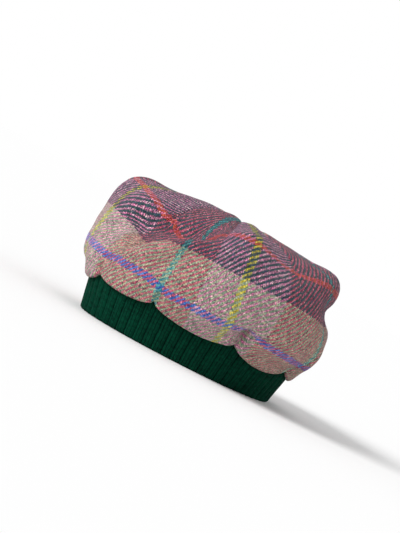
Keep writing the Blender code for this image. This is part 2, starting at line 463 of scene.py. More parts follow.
class NodeBoard:
    """The nodes of one material, with a Principled shader at its end."""

    def __init__(self, name: str) -> None:
        """Start a material.

        Args:
            name: The material's name.
        """
        self.material = bpy.data.materials.new(name)
        self.material.use_nodes = True
        self.tree = self.material.node_tree
        self.shader = self.tree.nodes["Principled BSDF"]

    def add(
        self, kind: str, settings: Mapping[str, Any], sockets: Mapping[Any, Any], output: Any = 0
    ) -> Value:
        """Add a node: its settings are made first, then its sockets are set or linked.

        Args:
            kind: The node's type.
            settings: Attributes by name, and a ramp's stops as places and linear colours.
            sockets: Values or links by the input's name, identifier or number.
            output: The output that is read, by name, identifier or number.

        Returns:
            That output's value.
        """
        node = self.tree.nodes.new(kind)
        for name, setting in settings.items():
            if name == "stops":
                self.set_stops(node.color_ramp, setting)
            else:
                setattr(node, name, setting)
        for name, given in sockets.items():
            socket = self.find(node.inputs, name)
            if isinstance(given, Value):
                self.tree.links.new(given.socket, socket)
            else:
                socket.default_value = given
        return Value(self, self.find(node.outputs, output))

    @staticmethod
    def set_stops(ramp: bpy.types.ColorRamp, stops: Sequence[tuple[float, Colour]]) -> None:
        """Give a ramp its stops.

        Args:
            ramp: The ramp, which has two stops at first.
            stops: Places from 0 to 1, and linear colours.
        """
        while len(ramp.elements) < len(stops):
            ramp.elements.new(1.0)
        for element, (place, colour) in zip(ramp.elements, stops):
            element.position = place
            element.color = (*colour, 1.0)

    @staticmethod
    def find(sockets: Any, name: Any) -> bpy.types.NodeSocket:
        """Find a socket.

        Args:
            sockets: A node's inputs or outputs.
            name: Its number, identifier or name.

        Returns:
            The socket.
        """
        if isinstance(name, int):
            return sockets[name]
        return next((socket for socket in sockets if socket.identifier == name), None) or sockets[name]

    def maths(self, operation: str, *amounts: Amount) -> Value:
        """Add a Math node.

        Args:
            operation: What it does.
            amounts: Its inputs, in order.

        Returns:
            Its result.
        """
        return self.add("ShaderNodeMath", {"operation": operation}, dict(enumerate(amounts)))

    def held(self, amount: Amount, low: float = 0.0, high: float = 1.0) -> Value:
        """Hold an amount between two limits."""
        return self.maths("MINIMUM", self.maths("MAXIMUM", amount, low), high)

    def follow(self, amount: Value, slope: Slope) -> Value:
        """An amount that follows another."""
        return self.held(amount * slope.gain + slope.start, slope.low, slope.high)

    def cell(self, amount: Value) -> tuple[Value, Value]:
        """The number of the whole step that an amount is in, and how far it is past that step's middle."""
        number = self.maths("FLOOR", amount)
        return number, amount - number - 0.5

    def vector(self, x: Amount, y: Amount, z: Amount) -> Value:
        """Join three amounts into a vector."""
        return self.add("ShaderNodeCombineXYZ", {}, {"X": x, "Y": y, "Z": z})

    def flat_place(self, uv_map: str) -> Value:
        """Where a point lies on the flat cloth: across, with Y as the other output of the same node."""
        flat = self.add("ShaderNodeUVMap", {"uv_map": uv_map}, {})
        return self.add("ShaderNodeSeparateXYZ", {}, {"Vector": flat})

    def space(self) -> Value:
        """Where a point lies in the piece's own coordinates."""
        return self.add("ShaderNodeTexCoord", {}, {}, "Object")

    def noise(self, place: Value, speckle: Speckle) -> Value:
        """Noise about 0.5 at a place."""
        grain = {"Scale": speckle.scale, "Detail": speckle.detail, "Roughness": speckle.roughness}
        return self.add("ShaderNodeTexNoise", {"noise_dimensions": "3D"}, {"Vector": place, **grain})

    def shifts(self, place: Value, speckle: Speckle, size: float) -> tuple[Value, Value]:
        """Draw two noises about 0 at a place.

        Args:
            place: Where they are read.
            speckle: Their grain.
            size: How strong they are.

        Returns:
            The two.
        """
        colour = self.noise(place, speckle).other("Color")
        parts = self.add("ShaderNodeSeparateColor", {}, {"Color": colour})
        return (parts - 0.5) * size, (parts.other("Green") - 0.5) * size

    def chance(self, place: Value) -> Value:
        """A number from 0 to 1 that is always the same at a place, and another at any other."""
        return self.add("ShaderNodeTexWhiteNoise", {"noise_dimensions": "3D"}, {"Vector": place}, "Value")

    def ramp(self, stops: Sequence[tuple[float, Colour]], place: Amount) -> Value:
        """Read a linear ramp of colours."""
        return self.add("ShaderNodeValToRGB", {"stops": stops}, {"Fac": place}, "Color")

    def colours(self, first: Any, second: Any, factor: Amount, blend: str = "MIX") -> Value:
        """Mix two colours.

        Args:
            first: The colour at factor 0.
            second: The colour at factor 1.
            factor: The share of the second.
            blend: How they are mixed.

        Returns:
            The mixed colour.
        """
        settings = {"data_type": "RGBA", "blend_type": blend, "clamp_factor": True}
        links = {Link.FACTOR.value: factor, Link.FIRST.value: first, Link.SECOND.value: second}
        return self.add("ShaderNodeMix", settings, links, Link.RESULT.value)

    def shade(self, colour: Value, roughness: Amount, height: Value, relief: float, lustre: Lustre) -> None:
        """Link the finish to the shader.

        Args:
            colour: Base colour.
            roughness: Roughness.
            height: Height of the relief, from 0 to 1.
            relief: How tall that is, in metres.
            lustre: How it shines.
        """
        bump = self.add("ShaderNodeBump", {}, {"Strength": 1.0, "Distance": relief, "Height": height})
        self.tree.links.new(colour.socket, self.shader.inputs["Base Color"])
        self.tree.links.new(roughness.socket, self.shader.inputs["Roughness"])
        self.tree.links.new(bump.socket, self.shader.inputs["Normal"])
        self.shader.inputs["Specular IOR Level"].default_value = lustre.specular
        self.shader.inputs["Sheen Weight"].default_value = lustre.sheen
        self.shader.inputs["Sheen Roughness"].default_value = lustre.sheen_roughness
        self.shader.inputs["Sheen Tint"].default_value = (*lustre.sheen_tint, 1.0)


@dataclass(frozen=True)
class Weave:
    """Where a point lies in the twill: yarns across and up the cloth, the warp's and the weft's number
    there, how far it is past the middle of each, the twill's step, and 1 where the warp is on top.
    """

    across: Value
    upward: Value
    warp: Value
    weft: Value
    in_warp: Value
    in_weft: Value
    step: Value
    on_top: Value


@dataclass(frozen=True)
class TweedFinish:
    """A 2/2 twill of woollen yarns with a check, read from the cloth's own flat map.

    Noises are scaled per metre, the flecks per yarn. The setts are counted in yarns: the warp's from the
    middle of the teal line, the weft's up from the seam. Later stripes lie over earlier ones. The fleck
    layer keeps the warp's flecks apart from the weft's.
    """

    name: str = "plaid_tweed"
    uv_map: str = "cloth"
    repeats: int = 4
    repeat_yarns: int = 136
    teal_yarn: int = 44
    warp_stripes: tuple[Stripe, ...] = (
        Stripe(Yarn.PINK, 26, 81),
        Stripe(Yarn.YELLOW, 51, 56),
        Stripe(Yarn.TEAL, 0, 3),
        Stripe(Yarn.TEAL, 134, 136),
    )
    dark_stripe: Stripe = Stripe(Yarn.DARK, 50, 129)
    weft_lines: tuple[Stripe, ...] = (Stripe(Yarn.BLUE, 16, 21), Stripe(Yarn.ORANGE, 73, 77))
    twill_yarns: int = 4
    float_yarns: int = 2
    drift: Speckle = Speckle(45.0, 1.0)
    drift_size: float = 0.5
    fray: Speckle = Speckle(700.0, 2.0, 0.6)
    fray_size: float = 2.3
    flecks: Speckle = Speckle(1.5, 3.0, 0.65)
    fleck_size: float = 4.6
    fleck_layer: float = 7.0
    chance_size: float = 0.62
    mixture_start: float = 0.19
    light_gain: float = 1.08
    warp_half_width: float = 0.41
    dark_crowding: float = 0.11
    yarn_roundness: float = 3.6
    yarn_least: float = 0.02
    float_roundness: float = 0.5
    fuzz: Speckle = Speckle(1500.0, 2.0, 0.7)
    fuzz_height: float = 0.35
    # Painted shade: the colour is drawn darker between the yarns and at the ends of the floats, by the
    # yarn's height.
    gap_shade: Slope = Slope(1.25, 0.1, 0.16, 1.25)
    # Painted glints: fine random specks of the colour drawn lighter, and some darker.
    glints: Speckle = Speckle(1050.0, 2.0, 0.7)
    glint: Slope = Slope(5.0, 1.0, 0.2, 1.4)
    wear: Speckle = Speckle(16.0)
    wearing: Slope = Slope(0.24, 0.88, 0.88, 1.12)
    roughness: Slope = Slope(-0.12, 0.95, 0.7)
    relief: float = 0.0007
    lustre: Lustre = Lustre(0.12, 0.12, 0.6, (0.9, 0.82, 0.8))

    def spun(self, board: NodeBoard, yarn: Yarn, mixture: Amount) -> Value:
        """Colour of a yarn.

        Args:
            board: The material's nodes.
            yarn: Which yarn.
            mixture: Where in its mixture of tones, from 0 to 1.

        Returns:
            The colour.
        """
        stops, place = [], 0.0
        for tone in yarn.value:
            stops.append((place + tone.share / 2, tone.linear(self.light_gain)))
            place += tone.share
        return board.ramp(stops, mixture)

    @staticmethod
    def inside(stripe: Stripe, count: Value) -> Value:
        """1 where a yarn is in a stripe."""
        return (count > stripe.first - 0.5) * (count < stripe.last - 0.5)

    def striped(
        self, board: NodeBoard, ground: Yarn, stripes: Sequence[Stripe], count: Value, mixture: Amount
    ) -> Value:
        """Colour of one set of yarns.

        Args:
            board: The material's nodes.
            ground: The yarn where no stripe is.
            stripes: The sett.
            count: The yarn's number in the sett.
            mixture: Where in a yarn's mixture of tones.

        Returns:
            The colour.
        """
        colour = self.spun(board, ground, mixture)
        for stripe in stripes:
            dyed = self.spun(board, stripe.yarn, mixture)
            colour = board.colours(colour, dyed, self.inside(stripe, count))
        return colour

    def weave(self, board: NodeBoard, space: Value, pitch: float) -> Weave:
        """Read the twill from the flat map, its yarns frayed and drifting a little.

        Args:
            board: The material's nodes.
            space: Where the point is.
            pitch: From one yarn to the next, in metres.

        Returns:
            Where it lies in the twill.
        """
        flat = board.flat_place(self.uv_map)
        drift_across, drift_up = board.shifts(space, self.drift, self.drift_size)
        fray_across, fray_up = board.shifts(space, self.fray, self.fray_size)
        across = flat / pitch + (drift_across + fray_across)
        upward = flat.other("Y") / pitch + (drift_up + fray_up)
        warp, in_warp = board.cell(across)
        weft, in_weft = board.cell(upward)
        step = (warp - weft) % self.twill_yarns
        return Weave(across, upward, warp, weft, in_warp, in_weft, step, step < self.float_yarns - 0.5)

    def mixture(self, board: NodeBoard, weave: Weave) -> Value:
        """Pick a place in a yarn's mixture of tones: one for each float, and flecks along it.

        Args:
            board: The material's nodes.
            weave: Where the point lies in the twill.

        Returns:
            The place, from 0 to 1.
        """
        on_top, under = weave.on_top, 1.0 - weave.on_top
        climbed = weave.weft - weave.warp + (self.float_yarns - 1)
        float_up = board.maths("FLOOR", climbed / self.twill_yarns)
        float_across = board.maths("FLOOR", (weave.warp - weave.weft) / self.twill_yarns)
        number = on_top * weave.warp + under * float_across
        each = board.vector(number, on_top * float_up + under * weave.weft, on_top)
        fibres = board.vector(weave.across, weave.upward, on_top * self.fleck_layer)
        flecks = (board.noise(fibres, self.flecks) - 0.5) * self.fleck_size
        return board.held(board.chance(each) * self.chance_size + flecks + self.mixture_start)

    def dyed(self, board: NodeBoard, weave: Weave) -> Value:
        """Colour of the yarn that shows.

        Args:
            board: The material's nodes.
            weave: Where the point lies in the twill.

        Returns:
            The colour.
        """
        mixture = self.mixture(board, weave)
        warp_count = (weave.warp - self.teal_yarn) % self.repeat_yarns
        weft_count = weave.weft % self.repeat_yarns
        warp = self.striped(board, Yarn.RED, self.warp_stripes, warp_count, mixture)
        weft_stripes = (self.dark_stripe, *self.weft_lines)
        weft = self.striped(board, Yarn.SAGE, weft_stripes, weft_count, mixture)
        crowding = self.inside(self.dark_stripe, weft_count) * self.dark_crowding
        narrowed = board.maths("ABSOLUTE", weave.in_warp) + crowding
        return board.colours(weft, warp, weave.on_top * (narrowed < self.warp_half_width))

    def height(self, board: NodeBoard, weave: Weave, space: Value) -> Value:
        """How high a point stands on its rounded, fuzzy yarn.

        Args:
            board: The material's nodes.
            weave: Where the point lies in the twill.
            space: Where the point is.

        Returns:
            The height, about 0 to 1.
        """
        on_top, under = weave.on_top, 1.0 - weave.on_top
        middle = (self.float_yarns - 1) / 2
        side = on_top * weave.in_warp + under * weave.in_weft
        warp_along = weave.in_weft + middle - weave.step
        weft_along = weave.in_warp + weave.step - (self.float_yarns + middle)
        along = on_top * warp_along + under * weft_along
        across_yarn = board.held(1.0 - side * side * self.yarn_roundness, self.yarn_least)
        dip = 1.0 - along * along * self.float_roundness
        fuzz = (board.noise(space, self.fuzz) - 0.5) * self.fuzz_height
        return board.maths("SQRT", across_yarn) * dip + fuzz

    def make(self, strip_length: float) -> bpy.types.Material:
        """Build the material.

        Args:
            strip_length: All round the hat on the flat map, in metres.

        Returns:
            The tweed.
        """
        board = NodeBoard(self.name)
        space = board.space()
        weave = self.weave(board, space, strip_length / (self.repeats * self.repeat_yarns))
        height = self.height(board, weave, space)
        # The colour is multiplied by painted shade between the yarns, painted glints, and random wear.
        glint = board.follow(board.noise(space, self.glints) - 0.5, self.glint)
        shade = board.follow(height, self.gap_shade) * glint
        shade = shade * board.follow(board.noise(space, self.wear), self.wearing)
        shade_glints_and_wear = board.add("ShaderNodeCombineColor", {}, {"Red": shade, "Green": shade, "Blue": shade})
        colour = board.colours(self.dyed(board, weave), shade_glints_and_wear, 1.0, "MULTIPLY")
        board.shade(colour, board.follow(height, self.roughness), height, self.relief, self.lustre)
        return board.material


@dataclass(frozen=True)
class KnitFinish:
    """A fine woollen rib knit, its wales and courses read from the band's own flat map.

    Noises are scaled per metre. Heights and lights are shares of the relief and of the way from the shaded
    tone to the lit one.
    """

    name: str = "green_rib_knit"
    uv_map: str = "knit"
    wales_per_rib: int = 3
    course: float = 0.00125
    drift: Speckle = Speckle(180.0, 1.0)
    drift_size: float = 0.5
    leg_slope: float = 1.1
    leg_crest: float = 0.25
    loop_roundness: float = 3.4
    ridge_roundness: float = 4.0
    fuzz: Speckle = Speckle(1300.0, 3.0, 0.7)
    loop_height: float = 0.45
    ridge_height: float = 0.45
    fuzz_height: float = 0.5
    base_height: float = 0.05
    most_height: float = 1.2
    wear: Speckle = Speckle(30.0)
    height_light: float = 0.9
    chance_light: float = 0.4
    wear_light: float = 0.6
    fuzz_light: float = 1.2
    base_light: float = 0.02
    # Painted shade in the grooves between the ribs.
    groove_shade: float = 0.22
    groove_squareness: float = 6.0
    # Painted light and shade: the knit's colour runs from this shaded tone to this lit one.
    lit: Tone = Tone(0.5, 5, 67, 47)
    shaded: Tone = Tone(0.5, 2, 18, 14)
    roughness: Slope = Slope(-0.1, 0.9, 0.6)
    relief: float = 0.0010
    lustre: Lustre = Lustre(0.03, 0.03, 0.5, (0.05, 0.7, 0.5))

    def groove(self, board: NodeBoard, turn: Value) -> Value:
        """How much darker the grooves between the ribs are drawn, as painted shade.

        Args:
            board: The material's nodes.
            turn: Where round the band, in ribs.

        Returns:
            The share of the light that is lost.
        """
        from_middle = board.cell(turn)[1]
        return (board.maths("ABSOLUTE", from_middle) * 2.0) ** self.groove_squareness * self.groove_shade

    def make(self, rib_pitch: float) -> bpy.types.Material:
        """Build the material.

        Args:
            rib_pitch: From one rib to the next on the flat map, in metres.

        Returns:
            The knit.
        """
        board = NodeBoard(self.name)
        flat = board.flat_place(self.uv_map)
        space = board.space()
        drift = (board.noise(space, self.drift) - 0.5) * self.drift_size
        wale, in_wale = board.cell(flat / (rib_pitch / self.wales_per_rib) + drift)
        from_middle = board.maths("ABSOLUTE", in_wale)
        loop, in_loop = board.cell(flat.other("Y") / self.course - from_middle * self.leg_slope + drift)
        leg = 1.0 - board.maths("ABSOLUTE", from_middle / self.leg_crest - 1.0) ** 2.0
        rounded = 1.0 - in_loop * in_loop * self.loop_roundness
        ridge = 1.0 - in_wale * in_wale * self.ridge_roundness
        fuzz = board.noise(space, self.fuzz) - 0.5
        height = leg * rounded * self.loop_height + ridge * self.ridge_height
        height = board.held(height + fuzz * self.fuzz_height + self.base_height, 0.0, self.most_height)
        chance = (board.chance(board.vector(wale, loop, 0.0)) - 0.5) * self.chance_light
        wear = (board.noise(space, self.wear) - 0.5) * self.wear_light
        uneven = chance + wear + fuzz * self.fuzz_light
        # Painted light and shade: loops and ridges lighter and grooves darker, mixed with real tone that
        # differs at random.
        light = height * self.height_light + uneven + self.base_light - self.groove(board, flat / rib_pitch)
        colour = board.ramp([(0.0, self.shaded.linear()), (1.0, self.lit.linear())], board.held(light))
        board.shade(colour, board.follow(height, self.roughness), height, self.relief, self.lustre)
        return board.material


@dataclass
class HatPlan:
    """The sizes that the band and the crown share, and the ovals worked out from them."""

    head_opening_width: float = 0.159
    head_opening_length: float = 0.201
    band_height: float = 0.038
    band_wall: float = 0.0038
    band_flare: float = 0.008
    rim_set_back: float = 0.003
    crown_wall: float = 0.0024
    seam_clearance: float = 0.0003

    def band_radius(self, azimuth: np.ndarray, up: np.ndarray, through: np.ndarray) -> np.ndarray:
        """Radius of the band's wall.

        Args:
            azimuth: In radians.
            up: Share of the band's height.
            through: 0 on the inner face and 1 on the outer face.

        Returns:
            The radius, in metres.
        """
        grown = self.band_flare * up + self.band_wall * through
        half_width, half_length = self.head_opening_width / 2, self.head_opening_length / 2
        return oval_radius(half_width + grown, half_length + grown, azimuth)

    def on_plan(self, radius: np.ndarray, azimuth: np.ndarray, height: np.ndarray) -> np.ndarray:
        """Turn places round the hat into points.

        Args:
            radius: From the middle of the band, in metres.
            azimuth: In radians.
            height: Over the floor, in metres.

        Returns:
            The points, with x, y and z last.
        """
        across, along = radius * np.sin(azimuth), self.rim_set_back - radius * np.cos(azimuth)
        return np.stack(np.broadcast_arrays(across, along, height), axis=-1)


def sheet_grid(name: str, points: np.ndarray, flat: np.ndarray, uv_map: str) -> bpy.types.Object:
    """Make a sheet from Blender's grid, and weld its first and last columns and any points at one place.

    Args:
        name: The piece's name.
        points: Places of the corners, by row and column.
        flat: Places of each face's four corners on the flat cloth, by row and column of the face.
        uv_map: The name of the map that keeps them.

    Returns:
        The piece.
    """
    rows, columns = points.shape[0] - 1, points.shape[1] - 1
    bpy.ops.object.select_all(action="DESELECT")
    bpy.ops.mesh.primitive_grid_add(x_subdivisions=columns, y_subdivisions=rows, size=1.0, calc_uvs=True)
    piece = bpy.context.object
    piece.name = piece.data.name = name
    mesh = piece.data
    places = np.empty(len(mesh.vertices) * 3)
    mesh.vertices.foreach_get("co", places)
    places = places.reshape(-1, 3)
    column = np.rint((places[:, 0] + 0.5) * columns).astype(int)
    row = np.rint((places[:, 1] + 0.5) * rows).astype(int)
    corner = np.empty(len(mesh.loops), dtype=int)
    mesh.loops.foreach_get("vertex_index", corner)
    face_of = np.repeat(np.arange(len(mesh.polygons)), 4)
    face_column = np.minimum.reduceat(column[corner], np.arange(0, len(corner), 4))[face_of]
    face_row = np.minimum.reduceat(row[corner], np.arange(0, len(corner), 4))[face_of]
    right = column[corner] - face_column
    upper = row[corner] - face_row
    layer = mesh.uv_layers[0]
    layer.name = uv_map
    layer.data.foreach_set("uv", flat[face_row, face_column, upper, right].ravel())
    mesh.vertices.foreach_set("co", points[row, column].ravel())
    mesh.update()
    bpy.ops.object.mode_set(mode="EDIT")
    bpy.ops.mesh.select_all(action="SELECT")
    bpy.ops.mesh.remove_doubles(threshold=WELD_GAP)
    bpy.ops.mesh.select_all(action="SELECT")
    bpy.ops.mesh.normals_make_consistent(inside=False)
    bpy.ops.object.mode_set(mode="OBJECT")
    return piece


def finish_piece(piece: bpy.types.Object, material: bpy.types.Material) -> None:
    """Shade a piece smooth, apply its modifiers and give it its material.

    Args:
        piece: The piece.
        material: Its finish.
    """
    bpy.ops.object.select_all(action="DESELECT")
    piece.select_set(True)
    bpy.context.view_layer.objects.active = piece
    for modifier in list(piece.modifiers):
        bpy.ops.object.modifier_apply(modifier=modifier.name)
    bpy.ops.object.shade_smooth()
    piece.data.materials.clear()
    piece.data.materials.append(material)
    piece.select_set(False)


@dataclass
class RibbedBand:
    """The folded rib knit round the opening: broad ribs, equally wide at the rim, and narrow grooves."""

    plan: HatPlan
    finish: KnitFinish
    ribs: int = 64
    columns_per_rib: int = 12
    groove_depth: float = 0.0018
    inner_groove_depth: float = 0.0005
    rib_squareness: float = 4.0
    edge_lift: float = 0.0012
    outer_rows: int = 16
    top_rows: int = 2
    inner_rows: int = 10
    edge_rows: int = 8
    rim_steps: int = 2880
    uneven_ribs: Ripple = Ripple(wavelength=0.045, size=0.05, waves=9, seed=11)
    sway: Ripple = Ripple(wavelength=0.05, size=0.0005, waves=10, seed=12)
    sway_onset: Onset = Onset(0.0, 0.625)
    sway_end: Onset = Onset(0.8, 0.2)

    def rib_depth(self, turn: np.ndarray) -> np.ndarray:
        """How far the surface lies below the ribs, 0 on a rib and 1 in a groove.

        Args:
            turn: Where round the band, in ribs.

        Returns:
            The share of the groove's depth.
        """
        from_rib = np.abs(turn - np.floor(turn) - 0.5) * 2.0
        return from_rib ** self.rib_squareness

    def section(self, azimuth: np.ndarray, depth: np.ndarray) -> tuple[np.ndarray, np.ndarray]:
        """The band's closed section at each azimuth.

        Args:
            azimuth: In radians, a column of the mesh each.
            depth: The grooves' depth there, from 0 to 1.

        Returns:
            Points by row and column, and their shares of the band's height.
        """
        wall, height = self.plan.band_wall, self.plan.band_height
        outer = wall - self.groove_depth * depth
        inner = self.inner_groove_depth * depth
        half, middle = (outer - inner) / 2, (outer + inner) / 2
        lift = self.edge_lift * depth
        through, level = [], []
        for angle in np.linspace(math.pi, 0.0, self.edge_rows, endpoint=False):
            through.append(middle + half * math.cos(angle))
            level.append(lift + half * (1.0 - math.sin(angle)))
        low = lift + half
        for share in np.linspace(0.0, 1.0, self.outer_rows, endpoint=False):
            through.append(outer)
            level.append(low + (height - low) * share)
        for share in np.linspace(0.0, 1.0, self.top_rows, endpoint=False):
            through.append(outer + (inner - outer) * share)
            level.append(np.full_like(low, height))
        for share in np.linspace(1.0, 0.0, self.inner_rows + 1):
            through.append(inner)
            level.append(low + (height - low) * share)
        through, level = np.array(through), np.array(level)
        radius = self.plan.band_radius(azimuth, level / height, through / wall)
        return self.plan.on_plan(radius, azimuth, level), level / height

    def surface(self, azimuth: np.ndarray, depth: np.ndarray) -> np.ndarray:
        """The band's whole surface, which sways a little as knitting does.

        Args:
            azimuth: In radians, a column of the mesh each.
            depth: The grooves' depth there, from 0 to 1.

        Returns:
            Points by row and column.
        """
        points, share = self.section(azimuth, depth)
        outward = points - self.plan.on_plan(0.0, azimuth, points[..., 2])
        outward /= np.linalg.norm(outward, axis=2, keepdims=True)
        swing = soft_noise(points, self.sway) * self.sway_onset.at(share) * (1.0 - self.sway_end.at(share))
        points += outward * swing[..., None]
        points[:, -1] = points[:, 0]
        points[-1] = points[0]
        return points

    def rim(self, azimuth: np.ndarray) -> np.ndarray:
        """Points of the outer rim at azimuths in radians."""
        return self.plan.on_plan(self.plan.band_radius(azimuth, 0.0, 1.0), azimuth, np.zeros_like(azimuth))

    def build(self) -> bpy.types.Object:
        """Model the band.

        Returns:
            The piece.
        """
        turn = np.linspace(0.0, 1.0, self.ribs * self.columns_per_rib + 1)
        fine = np.linspace(0.0, 2 * math.pi, self.rim_steps + 1)
        along = lengths_along(self.rim(fine))
        azimuth = np.interp(turn * along[-1], along, fine)
        rim = self.rim(azimuth)
        girth = float(lengths_along(rim)[-1])
        ribs_along = turn * self.ribs + soft_noise(rim, self.uneven_ribs)
        points = self.surface(azimuth, self.rib_depth(ribs_along))
        flat_across, flat_up = ribs_along[None, :] * girth / self.ribs, lengths_along(points[:, 0])[:, None]
        flat = face_corners(np.stack(np.broadcast_arrays(flat_across, flat_up), axis=-1))
        band = sheet_grid("rib_knit_band", points, flat, self.finish.uv_map)
        finish_piece(band, self.finish.make(girth / self.ribs))
        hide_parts("ribbed_band")
        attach(band, "root")
        LOG.info("rib_knit_band: %d faces", len(band.data.polygons))
        return band


@dataclass(frozen=True)
class Gathers:
    """The fine gathers above the seam, a sum of seeded waves that lean either way.

    The fewest and the most are ripples round the hat in a wave, the lean is in degrees over the cloth's
    height, the depth in metres, and the rest in shares of that height.
    """

    waves: int = 12
    fewest: int = 28
    most: int = 80
    lean: float = 14.0
    depth: float = 0.0005
    onset: Onset = Onset(0.07, 0.07)
    fade: float = 0.18
    seed: int = 21

    def push(self, degrees: np.ndarray, rising: np.ndarray) -> np.ndarray:
        """How far the gathers push the cloth out.

        Args:
            degrees: Azimuths by row and column.
            rising: Shares of the cloth's height, by row.

        Returns:
            Metres by row and column.
        """
        draw = np.random.default_rng(self.seed)
        total = np.zeros_like(degrees)
        for count in draw.integers(self.fewest, self.most, size=self.waves):
            lean = draw.uniform(-self.lean, self.lean)
            total += np.sin(np.radians(count * (degrees + lean * rising)) + draw.uniform(0.0, 2 * math.pi))
        total *= math.sqrt(2.0 / self.waves) * self.depth
        return total * self.onset.at(rising) * bell(rising / self.fade)


@dataclass(frozen=True)
class DartSeams:
    """The darts that close the crown on top: where they start, and how the cloth lies at and between them.

    The onset is in shares of the cloth's height, the rest in metres from a seam or from the middle.
    """

    count: int = 8
    onset: Onset = Onset(0.42, 0.12)
    depth: float = 0.0014
    width: float = 0.0022
    fullness: float = 0.0016
    full_from: Onset = Onset(0.0, 0.03)
    middle_depth: float = 0.0022
    middle_width: float = 0.012

    @property
    def petal(self) -> float:
        """From one dart to the next, in degrees."""
        return 360.0 / self.count

    def centres(self, grain: np.ndarray) -> np.ndarray:
        """The middle of the petal that each column of faces is in, in degrees."""
        past_start = grain[:-1] + 180.0 + GRID_SLACK
        return (np.floor(past_start / self.petal) + 0.5) * self.petal - 180.0

    def push(self, grain: np.ndarray, up: np.ndarray, points: np.ndarray) -> np.ndarray:
        """How far the darts draw the cloth in, and the cloth between them stands out.

        Args:
            grain: The columns' places round the flat strip, in degrees.
            up: Shares of the cloth's height, by row.
            points: Points by row and column.

        Returns:
            Metres by row and column.
        """
        from_seam = np.abs((grain + 180.0 + self.petal / 2) % self.petal - self.petal / 2)
        radius = np.linalg.norm(points[..., :2] - points[-1, 0, :2], axis=2)
        groove = bell(np.radians(from_seam)[None, :] * radius / self.width) * self.depth
        full = np.sin(math.pi * from_seam / self.petal)[None, :] ** 2 * self.fullness
        middle = bell(radius / self.middle_width) * self.middle_depth
        return (full * self.full_from.at(radius) - groove - middle) * self.onset.at(up)[:, None]


